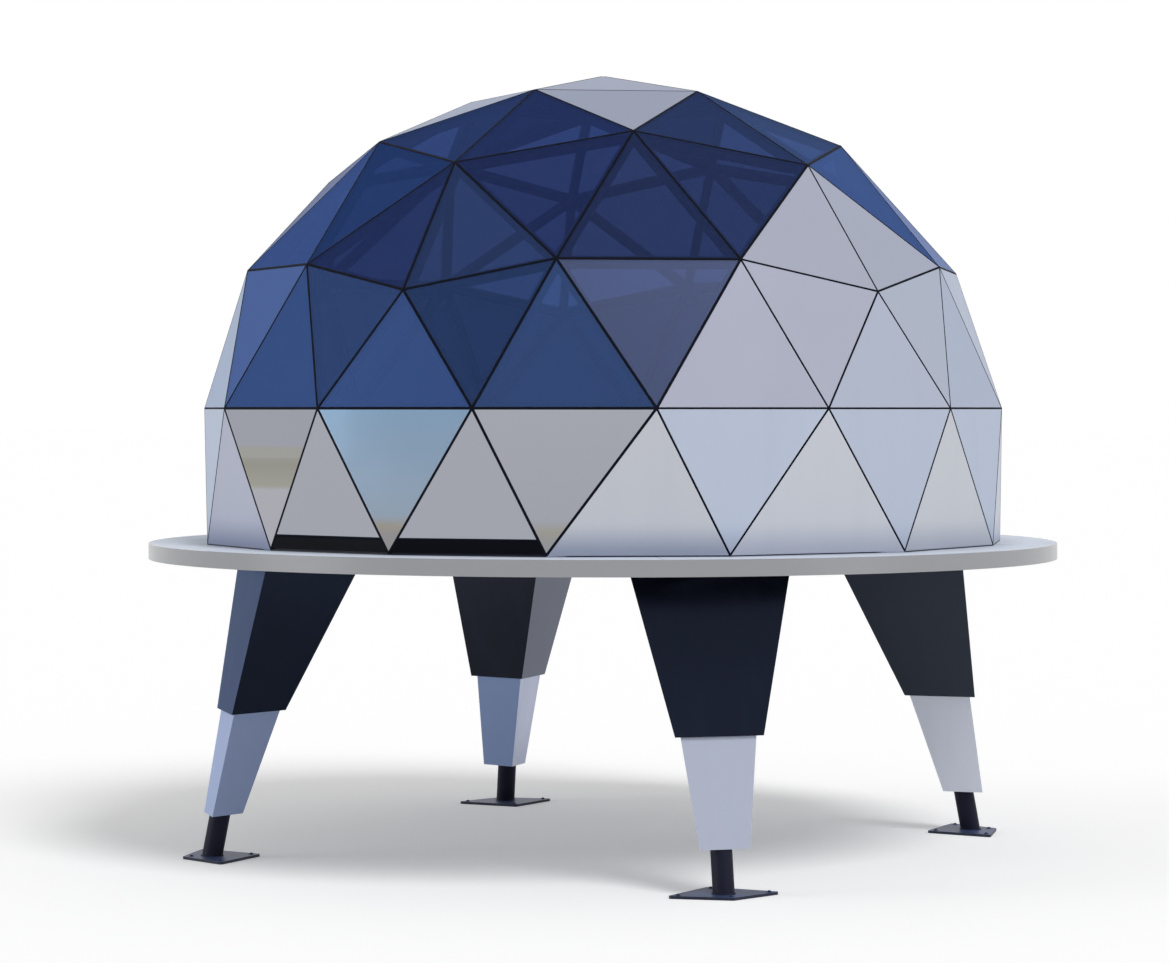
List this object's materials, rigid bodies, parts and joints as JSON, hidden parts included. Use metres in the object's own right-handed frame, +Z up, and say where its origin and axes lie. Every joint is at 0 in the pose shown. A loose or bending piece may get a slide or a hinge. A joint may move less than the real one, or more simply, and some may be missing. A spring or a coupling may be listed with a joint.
{
  "type": "geodesic dome pod",
  "caption": "Faceted geodesic dome with blue glass, white panels and a mirrored front row, on a round deck carried by flared three-sided legs.",
  "frame": {"origin": "on the ground, under the middle of the round deck", "axes": "+Z up, -Y toward the glazed front, +X to the right when facing the front; the dome is mirror-symmetric about X = 0"},
  "size_m": [6.8, 6.8, 5.7928],
  "materials": {
    "white_panel": "gloss white",
    "blue_glass": "blue tinted, clear enough to see the frames through",
    "mirror_glass": "grey reflective glass",
    "black_trim": "satin black",
    "black_frame": "satin black",
    "deck_floor": "pale grey sheet",
    "deck_rim": "satin pale grey",
    "deck_steel": "satin dark grey",
    "black_sleeve": "gloss black",
    "white_shroud": "gloss white",
    "black_post": "satin black",
    "base_plate": "satin black"
  },
  "bodies": {
    "root": {"star_panels": "white_panel", "peak_panels": "white_panel", "belt_panels": "white_panel", "base_panels": "white_panel", "roof_glass_upper": "blue_glass", "roof_glass_lower": "blue_glass", "belt_glass": "blue_glass", "base_mirror_glass": "mirror_glass", "sill_strips": "black_trim", "crown_frames": "black_frame", "upper_roof_frames": "black_frame", "lower_roof_frames": "black_frame", "belt_frames": "black_frame", "base_frames": "black_frame", "sole_ring": "black_frame", "deck_floor": "deck_floor", "deck_rim": "deck_rim", "deck_ring_beam": "deck_steel", "deck_main_beams": "deck_steel", "deck_joists": "deck_steel", "sleeve_front_right": "black_sleeve", "sleeve_back_right": "black_sleeve", "sleeve_back_left": "black_sleeve", "sleeve_front_left": "black_sleeve", "shroud_front_right": "white_shroud", "shroud_back_right": "white_shroud", "shroud_back_left": "white_shroud", "shroud_front_left": "white_shroud", "post_front_right": "black_post", "post_back_right": "black_post", "post_back_left": "black_post", "post_front_left": "black_post", "base_front_right": "base_plate", "base_back_right": "base_plate", "base_back_left": "base_plate", "base_front_left": "base_plate"}
  },
  "joints": []
}
